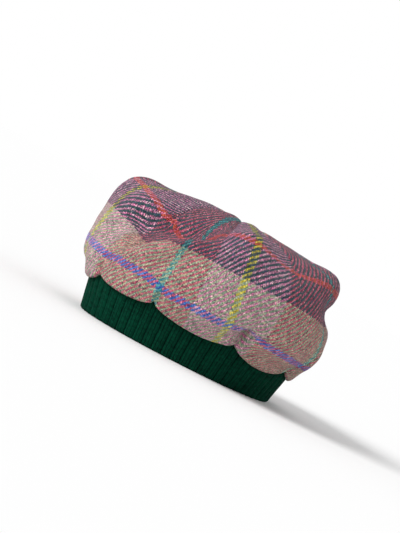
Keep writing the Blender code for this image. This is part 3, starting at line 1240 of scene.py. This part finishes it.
@dataclass
class TweedCrown:
    """The draped crown: a strip of plaid tweed gathered into the band by tucks, and closed on top by darts.

    Sizes are in metres, and what ends in up, or tells where something sets in, is a share of the cloth's
    height. The fades along a line are shares of that line.
    """

    plan: HatPlan
    finish: TweedFinish
    width: float = 0.242
    length: float = 0.236
    dome_top: float = 0.136
    puff_roll: float = 0.0026
    puff_sag: float = 0.009
    tuck_depth: float = 0.008
    tuck_rounding: float = 0.05
    puff_fullness: float = 0.42
    hang_fullness: float = 0.6
    sag_from_up: float = 0.022
    sag_up: float = 0.052
    sag_spread: float = 0.028
    tuck_lean: Onset = Onset(0.0, 0.5)
    edge_hold: Onset = Onset(0.0, 0.10)
    slope_reach: float = 0.01
    widest_up: float = 0.24
    strip_length: float = 0.75
    cut_height: float = 0.22
    gathers: Gathers = Gathers()
    darts: DartSeams = DartSeams()
    softness: tuple[Ripple, ...] = (Ripple(0.052, 0.0011, 16, 22), Ripple(0.021, 0.00035, 18, 23))
    soft_onset: Onset = Onset(0.05, 0.2)
    crease_fade: float = 0.75
    crease_lip: float = 0.45
    crease_lip_place: float = 1.5
    fold_lip: float = 0.18
    fold_onset: Onset = Onset(0.0, 0.35)
    fold_end: Onset = Onset(1.0, 0.6)
    grain_lean: Onset = Onset(0.0, 0.45)
    lean_ease: float = 0.6
    lean_easing: Onset = Onset(0.55, 0.3)
    level_climb: float = 0.14
    evening: Onset = Onset(0.45, 0.35)
    arching: Onset = Onset(0.45, 0.25)
    narrow_from_up: float = 0.3
    anchor_up: float = 0.24
    anchor_height: float = 0.0475
    columns: int = 400
    rows: int = 118
    row_crowding: float = 0.4

    def section_rows(self) -> tuple[SectionRow, ...]:
        """The dome's section. Up to the widest row, out is a share of the way from seam to full size.

        Returns:
            Its rows, from the seam to the top.
        """
        return (
            SectionRow(up=0.000, out=0.000, roll=-0.20, rise=0.000),
            SectionRow(up=0.022, out=0.000, roll=0.72, rise=0.000),
            SectionRow(up=0.050, out=0.020, roll=0.85, rise=0.000),
            SectionRow(up=0.078, out=0.140, roll=1.00, rise=0.008),
            SectionRow(up=0.115, out=0.500, roll=0.70, rise=0.055),
            SectionRow(up=0.168, out=0.860, roll=0.25, rise=0.165),
            SectionRow(up=self.widest_up, out=1.000, roll=0.00, rise=0.330),
            SectionRow(up=0.330, out=1.000, roll=0.00, rise=0.515),
            SectionRow(up=0.410, out=0.965, roll=0.00, rise=0.675),
            SectionRow(up=0.490, out=0.890, roll=0.00, rise=0.800),
            SectionRow(up=0.580, out=0.760, roll=0.00, rise=0.888),
            SectionRow(up=0.680, out=0.580, roll=0.00, rise=0.945),
            SectionRow(up=0.790, out=0.380, roll=0.00, rise=0.980),
            SectionRow(up=0.900, out=0.180, roll=0.00, rise=0.996),
            SectionRow(up=1.000, out=0.000, roll=0.00, rise=1.000),
        )

    def tucks(self) -> tuple[Tuck, ...]:
        """The tucks that gather the crown into the band.

        Returns:
            The tucks, by rising azimuth.
        """
        return (
            Tuck(azimuth=-30, lean=8, reach=0.30, depth=0.8, hang=1.15),
            Tuck(azimuth=-4, lean=14, reach=0.20, depth=0.8, hang=0.80),
            Tuck(azimuth=29, lean=10, reach=0.22, depth=0.8, hang=0.95),
            Tuck(azimuth=76, lean=-3, reach=0.34, depth=1.4, hang=1.30),
            Tuck(azimuth=124, lean=4, reach=0.30, depth=1.1, hang=1.25),
            Tuck(azimuth=150, lean=3, reach=0.36, depth=0.9, hang=1.15),
            Tuck(azimuth=185, lean=-6, reach=0.34, depth=1.0, hang=1.00),
            Tuck(azimuth=217, lean=5, reach=0.30, depth=0.8, hang=0.90),
            Tuck(azimuth=250, lean=-4, reach=0.42, depth=1.1, hang=1.00),
            Tuck(azimuth=289, lean=6, reach=0.28, depth=0.9, hang=0.90),
        )

    def swells(self) -> tuple[Swell, ...]:
        """The soft swells and hollows of the drape.

        Returns:
            The swells, by azimuth.
        """
        return (
            Swell(azimuth=-44, lean=0, spread=18, up=0.53, up_spread=0.11, push=0.062),
            Swell(azimuth=-52, lean=0, spread=26, up=0.34, up_spread=0.1, push=-0.033),
            Swell(azimuth=-60, lean=0, spread=22, up=0.11, up_spread=0.06, push=0.016),
            Swell(azimuth=10, lean=100, spread=13, up=0.41, up_spread=0.13, push=-0.115),
            Swell(azimuth=27, lean=100, spread=9, up=0.31, up_spread=0.1, push=0.030),
            Swell(azimuth=16, lean=0, spread=20, up=0.56, up_spread=0.12, push=-0.085),
            Swell(azimuth=36, lean=0, spread=13, up=0.50, up_spread=0.13, push=-0.060),
            Swell(azimuth=56, lean=0, spread=12, up=0.52, up_spread=0.12, push=0.060),
            Swell(azimuth=75, lean=0, spread=8, up=0.12, up_spread=0.05, push=-0.062),
            Swell(azimuth=84, lean=0, spread=18, up=0.52, up_spread=0.14, push=-0.033),
            Swell(azimuth=132, lean=0, spread=22, up=0.39, up_spread=0.09, push=-0.140),
            Swell(azimuth=136, lean=0, spread=20, up=0.55, up_spread=0.09, push=0.083),
            Swell(azimuth=182, lean=0, spread=20, up=0.52, up_spread=0.15, push=-0.050),
            Swell(azimuth=224, lean=0, spread=22, up=0.50, up_spread=0.15, push=0.058),
            Swell(azimuth=268, lean=0, spread=18, up=0.54, up_spread=0.14, push=-0.050),
        )

    def creases(self) -> tuple[Crease, ...]:
        """The finer creases that the tucks throw into the cloth.

        Returns:
            The creases.
        """
        return (
            Crease(azimuth=-4, up=0.09, to_azimuth=0, to_up=0.15, width=0.004, depth=0.0012),
            Crease(azimuth=75.5, up=0.085, to_azimuth=75, to_up=0.112, width=0.006, depth=0.0045),
            Crease(azimuth=77, up=0.11, to_azimuth=88, to_up=0.17, width=0.004, depth=0.0012),
            Crease(azimuth=-34, up=0.12, to_azimuth=-28, to_up=0.26, width=0.005, depth=0.0014),
            Crease(azimuth=31, up=0.10, to_azimuth=37, to_up=0.19, width=0.004, depth=0.0012),
            Crease(azimuth=121, up=0.12, to_azimuth=128, to_up=0.24, width=0.005, depth=0.0014),
            Crease(azimuth=148, up=0.12, to_azimuth=141, to_up=0.26, width=0.005, depth=0.0014),
            Crease(azimuth=183, up=0.12, to_azimuth=174, to_up=0.26, width=0.005, depth=0.0014),
            Crease(azimuth=217, up=0.12, to_azimuth=226, to_up=0.27, width=0.005, depth=0.0014),
            Crease(azimuth=250, up=0.12, to_azimuth=243, to_up=0.30, width=0.005, depth=0.0016),
            Crease(azimuth=290, up=0.12, to_azimuth=298, to_up=0.25, width=0.005, depth=0.0014),
        )

    def overlaps(self) -> tuple[Overlap, ...]:
        """The fold on the front left, where the front stands over the hollow beside the left lobe.

        Returns:
            That fold alone.
        """
        return (
            Overlap(
                azimuth=6,
                up=0.195,
                to_azimuth=32,
                to_up=0.39,
                step=0.005,
                reach=0.034,
                depth=0.012,
                hidden=0.008,
                drawn=0.050,
            ),
        )

    def grain(self) -> tuple[GrainRow, ...]:
        """How the warp leans and the weft rises and falls round the hat.

        Returns:
            Rows by rising azimuth.
        """
        return (
            GrainRow(azimuth=-75, lean=3.0, level=0.010, upper_level=0.006),
            GrainRow(azimuth=-30, lean=8.0, level=0.009, upper_level=0.002),
            GrainRow(azimuth=-5, lean=13.0, level=0.004, upper_level=-0.006),
            GrainRow(azimuth=18, lean=7.0, level=0.006, upper_level=-0.003),
            GrainRow(azimuth=38, lean=1.0, level=0.001, upper_level=0.000),
            GrainRow(azimuth=64, lean=-5.0, level=0.000, upper_level=0.000),
            GrainRow(azimuth=86, lean=-2.0, level=-0.001, upper_level=-0.001),
            GrainRow(azimuth=122, lean=-5.0, level=-0.005, upper_level=-0.005),
            GrainRow(azimuth=160, lean=0.0, level=-0.003, upper_level=-0.003),
            GrainRow(azimuth=215, lean=2.0, level=0.000, upper_level=0.000),
            GrainRow(azimuth=250, lean=-2.0, level=0.003, upper_level=0.002),
        )

    def section_weights(self, up: np.ndarray) -> np.ndarray:
        """Weights of the section's rows at shares of the cloth's height, for a smooth curve through them.

        Args:
            up: Shares of the cloth's height.

        Returns:
            Weights by place and row.
        """
        places = np.array([row.up for row in self.section_rows()])
        count = len(places)
        slopes = np.zeros((count, count))
        steps = np.diff(places)
        for at in range(1, count - 1):
            before, after = steps[at - 1], steps[at]
            slopes[at, at + 1] = before / (after * (before + after))
            slopes[at, at - 1] = -after / (before * (before + after))
            slopes[at, at] = -slopes[at, at + 1] - slopes[at, at - 1]
        slopes[0, :2] = (-1.0 / steps[0], 1.0 / steps[0])
        slopes[-1, -2:] = (-1.0 / steps[-1], 1.0 / steps[-1])
        at = np.clip(np.searchsorted(places, up, side="right") - 1, 0, count - 2)
        step = steps[at]
        t = (up - places[at]) / step
        rows = np.eye(count)
        return (
            (2 * t**3 - 3 * t**2 + 1)[:, None] * rows[at]
            + ((t**3 - 2 * t**2 + t) * step)[:, None] * slopes[at]
            + (-2 * t**3 + 3 * t**2)[:, None] * rows[at + 1]
            + ((t**3 - t**2) * step)[:, None] * slopes[at + 1]
        )

    def dome(self, azimuth: np.ndarray, up: np.ndarray) -> tuple[np.ndarray, np.ndarray]:
        """The plain dome, before its tucks and swells.

        Args:
            azimuth: In radians, by row and column.
            up: Shares of the cloth's height, by row.

        Returns:
            Radii and heights by row and column.
        """
        plan = self.plan
        seam = plan.band_radius(azimuth, 1.0, 0.5)
        full = oval_radius(self.width / 2, self.length / 2, azimuth) + plan.rim_set_back * np.cos(azimuth)
        roll = plan.band_wall / 2 + plan.seam_clearance + plan.crown_wall / 2 + self.puff_roll
        seam_height = plan.band_height + plan.seam_clearance + plan.crown_wall / 2
        rise = self.dome_top - plan.crown_wall / 2 - seam_height
        weights = self.section_weights(up)
        radius, height = np.zeros_like(azimuth), np.zeros_like(azimuth)
        for index, row in enumerate(self.section_rows()):
            weight = weights[:, index : index + 1]
            plain = seam + row.out * (full - seam) if row.up < self.widest_up else row.out * full
            radius += weight * (plain + row.roll * roll)
            height += weight * (seam_height + row.rise * rise)
        return radius, height

    def puffs(self, degrees: np.ndarray, up: np.ndarray) -> tuple[np.ndarray, np.ndarray, np.ndarray]:
        """Where each point lies between its two tucks.

        Args:
            degrees: Azimuths by row and column.
            up: Shares of the cloth's height, by row.

        Returns:
            Depth of the tucks there, fullness of the puff from 0 at a tuck to 1 between two, and how far it
            hangs.
        """
        tucks = self.tucks()
        hangs = np.array([tuck.hang for tuck in tucks])
        rounding = self.tuck_rounding
        widest = math.hypot(1.0, rounding) - rounding
        depth, fullness, hang = np.empty_like(degrees), np.empty_like(degrees), np.empty_like(degrees)
        for index, share in enumerate(up):
            lean = self.tuck_lean.at(share)
            places = np.array([tuck.azimuth + tuck.lean * lean for tuck in tucks])
            depths = np.array([tuck.depth * (1.0 - Onset(0.0, tuck.reach).at(share)) for tuck in tucks])
            places, depths = np.append(places, places[0] + 360.0), np.append(depths, depths[0])
            turned = (degrees[index] - places[0]) % 360.0 + places[0]
            at = np.clip(np.searchsorted(places, turned, side="right") - 1, 0, len(tucks) - 1)
            phase = (turned - places[at]) / (places[at + 1] - places[at])
            depth[index] = (1.0 - phase) * depths[at] + phase * depths[at + 1]
            hang[index] = hangs[at]
            opened = np.hypot(np.sin(math.pi * phase), rounding) - rounding
            fullness[index] = (opened / widest) ** self.puff_fullness
        return depth, fullness, hang

    def drape(self, degrees: np.ndarray, up: np.ndarray) -> np.ndarray:
        """Points in the middle of the crown's wall, with its tucks, swells and sag.

        Args:
            degrees: Azimuths by row and column.
            up: Shares of the cloth's height, by row.

        Returns:
            Points by row and column.
        """
        azimuth = np.radians(degrees)
        radius, height = self.dome(azimuth, up)
        radius_before, height_before = self.dome(azimuth, np.clip(up - self.slope_reach, 0.0, 1.0))
        radius_after, height_after = self.dome(azimuth, np.clip(up + self.slope_reach, 0.0, 1.0))
        along = np.stack([radius_after - radius_before, height_after - height_before])
        along /= np.linalg.norm(along, axis=0)
        depth, fullness, hang = self.puffs(degrees, up)
        rising = up[:, None]
        push = -self.tuck_depth * depth * (1.0 - fullness)
        for swell in self.swells():
            middle = swell.azimuth + swell.lean * (rising - swell.up)
            across = wrapped(degrees - middle) / swell.spread
            upward = (rising - swell.up) / swell.up_spread
            push = push + swell.push * self.width / 2 * bell(across) * bell(upward)
        push = push * self.edge_hold.at(rising)
        sag = self.puff_sag * hang * fullness**self.hang_fullness
        sag = sag * bell((rising - self.sag_up) / self.sag_spread)
        sag = sag * Onset(self.sag_from_up, self.sag_up - self.sag_from_up).at(rising)
        inward = sag * self.plan.band_flare / self.plan.band_height
        return self.plan.on_plan(radius + push * along[1] - inward, azimuth, height - push * along[0] - sag)

    def beside(self, line: Union[Crease, Overlap], degrees: np.ndarray, rising: np.ndarray) -> Beside:
        """Where points lie beside a line drawn on the cloth.

        Args:
            line: The line.
            degrees: Azimuths by row and column.
            rising: Shares of the cloth's height, by row.

        Returns:
            Their places by the line.
        """
        metres = self.strip_length / 360.0
        run = (line.to_azimuth - line.azimuth) * metres
        climb = (line.to_up - line.up) * self.cut_height
        across = wrapped(degrees - line.azimuth) * metres
        upward = np.broadcast_to((rising - line.up) * self.cut_height, degrees.shape)
        length = math.hypot(run, climb)
        share = (across * run + upward * climb) / length**2
        side = (upward * run - across * climb) / length
        past = (share - np.clip(share, 0.0, 1.0)) * length
        return Beside(share, side, np.hypot(side, past))

    def fold_strength(self, share: np.ndarray) -> np.ndarray:
        """How strongly an overlap shows at shares of the way along its line."""
        return self.fold_onset.at(share) * (1.0 - self.fold_end.at(share))

    def fine_folds(self, points: np.ndarray, degrees: np.ndarray, up: np.ndarray) -> np.ndarray:
        """How far the finer folds push the cloth out.

        Args:
            points: Points by row and column.
            degrees: Azimuths by row and column.
            up: Shares of the cloth's height, by row.

        Returns:
            Metres by row and column.
        """
        rising = up[:, None]
        push = self.gathers.push(degrees, rising)
        push += sum(soft_noise(points, ripple) for ripple in self.softness) * self.soft_onset.at(rising)
        for crease in self.creases():
            place = self.beside(crease, degrees, rising)
            away = place.gap / crease.width
            fade = 1.0 - self.crease_fade * np.clip(place.share, 0.0, 1.0)
            lip = self.crease_lip * bell(away - self.crease_lip_place)
            push += crease.depth * fade * (lip - bell(away))
        for fold in self.overlaps():
            place = self.beside(fold, degrees, rising)
            behind = Onset(0.0, fold.step).at(place.side) * bell(place.side / fold.reach)
            lip = self.fold_lip * bell(place.side / fold.step + 1.0)
            push += fold.depth * self.fold_strength(place.share) * (lip - behind)
        return push

    def flat_heights(self, grain: np.ndarray, up: np.ndarray, points: np.ndarray) -> np.ndarray:
        """How high points lie on the flat cloth, which is evened out round the hat towards its top.

        Args:
            grain: The columns' places round the flat strip, in degrees.
            up: Shares of the cloth's height, by row.
            points: Points by row and column.

        Returns:
            Metres by row and column.
        """
        height = lengths_along(points)
        height += self.anchor_height - height[int(np.searchsorted(up, self.anchor_up))]
        rows = self.grain()
        level, upper_level = (round_table(grain, rows, name)[None, :] for name in ("level", "upper_level"))
        climbed = Onset(self.widest_up, self.level_climb).at(up)[:, None]
        level = level * (1.0 - climbed) + upper_level * climbed
        evened = self.evening.at(up)[:, None]
        return (height - level) * (1.0 - evened) + height.mean(axis=1, keepdims=True) * evened

    def tucked_away(self, degrees: np.ndarray, rising: np.ndarray) -> tuple[np.ndarray, np.ndarray]:
        """How much cloth the overlaps hide.

        Args:
            degrees: Azimuths by row and column.
            rising: Shares of the cloth's height, by row.

        Returns:
            Metres across and up the cloth, by row and column.
        """
        across, upward = np.zeros_like(degrees), np.zeros_like(degrees)
        for fold in self.overlaps():
            place = self.beside(fold, degrees, rising)
            behind = Onset(0.0, fold.step).at(place.side) * bell(place.side / fold.drawn)
            hidden = fold.hidden * self.fold_strength(place.share) * behind
            run = (fold.to_azimuth - fold.azimuth) * self.strip_length / 360.0
            turn = math.atan2((fold.to_up - fold.up) * self.cut_height, run)
            across -= hidden * math.sin(turn)
            upward += hidden * math.cos(turn)
        return across, upward

    def flat_map(
        self, grain: np.ndarray, up: np.ndarray, points: np.ndarray, degrees: np.ndarray
    ) -> np.ndarray:
        """Where each face's corners lie on the flat cloth, the check straight across each petal on top.

        Args:
            grain: The columns' places round the flat strip, in degrees.
            up: Shares of the cloth's height, by row.
            points: Points by row and column.
            degrees: Azimuths by row and column.

        Returns:
            Places in metres, by the face's row and column, upper or lower corner, and left or right corner.
        """
        metres = self.strip_length / 360.0
        height = self.flat_heights(grain, up, points)
        tip = height[-1, 0]
        hidden_across, hidden_up = self.tucked_away(degrees, up[:, None])
        ring = np.linalg.norm(np.diff(points, axis=1), axis=2).sum(axis=1)
        shrink = np.where(up > self.narrow_from_up, np.minimum(1.0, ring / self.strip_length), 1.0)
        centre = self.darts.centres(grain)[None, :, None, None]
        by_row = np.broadcast_arrays(grain, shrink[:, None], self.arching.at(up)[:, None])
        place, narrowing, arch = (face_corners(values) for values in by_row)
        offset = place - centre
        bend = np.cos(np.radians(offset) * arch)
        flat_across = centre * metres + offset * metres * narrowing + face_corners(hidden_across)
        return np.stack([flat_across, tip - (tip - face_corners(height + hidden_up)) * bend], axis=-1)

    def cut_area(self) -> float:
        """Flat area of the strip, which narrows to petals between the darts as the dome narrows.

        Returns:
            Square metres.
        """
        rows = [row for row in self.section_rows() if row.up >= self.widest_up]
        steps = zip(rows, rows[1:])
        petals = sum((after.up - before.up) * (before.out + after.out) / 2 for before, after in steps)
        return self.strip_length * self.cut_height * (self.widest_up + petals)

    def build(self) -> bpy.types.Object:
        """Model the crown.

        Returns:
            The piece.
        """
        grain = np.linspace(-180.0, 180.0, self.columns + 1)
        even = np.linspace(0.0, 1.0, self.rows + 1)
        up = even * (1.0 - self.row_crowding * (1.0 - even))
        lean = round_table(grain, self.grain(), "lean")[None, :] * self.grain_lean.at(up)[:, None]
        lean *= 1.0 - self.lean_ease * self.lean_easing.at(up)[:, None]
        degrees = grain[None, :] + lean
        points = self.drape(degrees, up)
        push = self.fine_folds(points, degrees, up) + self.darts.push(grain, up, points)
        points = points + grid_normals(points) * push[..., None]
        points[:, -1] = points[:, 0]
        points[-1] = points[-1].mean(axis=0)
        flat = self.flat_map(grain, up, points, degrees)
        crown = sheet_grid("plaid_tweed_crown", points, flat, self.finish.uv_map)
        wall = crown.modifiers.new("cloth wall", "SOLIDIFY")
        wall.thickness = self.plan.crown_wall
        wall.offset = 0.0
        finish_piece(crown, self.finish.make(self.strip_length))
        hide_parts("tweed_crown")
        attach(crown, "root")
        self.cut_area()
        LOG.info("plaid_tweed_crown: %d faces", len(crown.data.polygons))
        return crown


@dataclass
class Studio:
    """A plain pale floor, soft light, and a camera on the photo's side of the hat.

    Angles are in degrees, and the hat's place in the picture is in the photo's pixels.
    """

    floor_radius: float = 60.0
    floor_sides: int = 96
    floor_level: float = -0.0002
    floor_albedo: float = 0.97
    backdrop: float = 1.0
    fill: float = 0.62
    key_azimuth: float = -6.0
    key_elevation: float = 32.0
    key_strength: float = 2.4
    key_softness: float = 28.0
    camera_azimuth: float = 49.7
    camera_elevation: float = 1.0
    camera_roll: float = 28.0
    camera_distance: float = 1.8
    pixels_per_metre: float = 1095.0
    picture_height: int = 533
    picture_width: int = 400
    hat_column: float = 208.0
    hat_row: float = 287.0
    sensor_mm: float = 36.0
    farthest: float = 240.0

    def floor(self) -> None:
        """Lay the floor."""
        bpy.ops.object.select_all(action="DESELECT")
        bpy.ops.mesh.primitive_circle_add(
            vertices=self.floor_sides,
            radius=self.floor_radius,
            fill_type="NGON",
            location=(0.0, 0.0, self.floor_level),
        )
        floor = bpy.context.object
        floor.name = "floor"
        board = NodeBoard("pale_floor")
        board.shader.inputs["Base Color"].default_value = (*(self.floor_albedo,) * 3, 1.0)
        board.shader.inputs["Roughness"].default_value = 1.0
        board.shader.inputs["Specular IOR Level"].default_value = 0.0
        floor.data.materials.append(board.material)
        floor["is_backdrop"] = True

    def world(self) -> None:
        """Light the hat from all round, with a white backdrop."""
        world = bpy.data.worlds.new("studio")
        world.use_nodes = True
        bpy.context.scene.world = world
        nodes, links = world.node_tree.nodes, world.node_tree.links
        nodes.clear()
        path = nodes.new("ShaderNodeLightPath")
        mix, output = nodes.new("ShaderNodeMixShader"), nodes.new("ShaderNodeOutputWorld")
        links.new(path.outputs["Is Camera Ray"], mix.inputs["Fac"])
        for socket, strength in ((1, self.fill), (2, self.backdrop)):
            light = nodes.new("ShaderNodeBackground")
            light.inputs["Color"].default_value = (1.0, 1.0, 1.0, 1.0)
            light.inputs["Strength"].default_value = strength
            links.new(light.outputs[0], mix.inputs[socket])
        links.new(mix.outputs[0], output.inputs["Surface"])

    def key_light(self) -> None:
        """Add a soft far light from the front."""
        data = bpy.data.lights.new("key", "SUN")
        data.energy = self.key_strength
        data.angle = math.radians(self.key_softness)
        lamp = bpy.data.objects.new("key", data)
        bpy.context.scene.collection.objects.link(lamp)
        source = toward(self.key_azimuth, self.key_elevation)
        lamp.rotation_euler = source.to_track_quat("Z", "Y").to_euler()

    def camera(self) -> None:
        """Place the camera so that the hat sits in the picture where the photo has it."""
        data = bpy.data.cameras.new("photo_view")
        camera = bpy.data.objects.new("photo_view", data)
        bpy.context.scene.collection.objects.link(camera)
        bpy.context.scene.camera = camera
        data.sensor_width = self.sensor_mm
        data.lens = data.sensor_width * self.camera_distance * self.pixels_per_metre / self.picture_height
        data.clip_end = self.farthest
        back = toward(self.camera_azimuth, self.camera_elevation)
        level = toward(self.camera_azimuth + 90.0, 0.0)
        roll = Matrix.Rotation(math.radians(self.camera_roll), 3, back)
        right, above = roll @ level, roll @ back.cross(level)
        low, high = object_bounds()
        across = (self.picture_width / 2 - self.hat_column) / self.pixels_per_metre
        upward = (self.hat_row - self.picture_height / 2) / self.pixels_per_metre
        aim = (low + high) / 2 + right * across + above * upward
        turned = Matrix((right, above, back)).transposed().to_4x4()
        camera.matrix_world = Matrix.Translation(aim + back * self.camera_distance) @ turned
        LOG.info("camera: lens %.0f mm", data.lens)

    def build(self) -> None:
        """Set the stage."""
        view = bpy.context.scene.view_settings
        view.view_transform = "Standard"
        view.look = "None"
        self.floor()
        self.world()
        self.key_light()
        self.camera()


def main() -> None:
    """Dress the hat."""
    logging.basicConfig(level=logging.INFO, format="%(name)s: %(message)s")
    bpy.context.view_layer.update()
    plan = HatPlan()
    RibbedBand(plan, KnitFinish()).build()
    TweedCrown(plan, TweedFinish()).build()
    Studio().build()


if __name__ == "__main__":
    main()
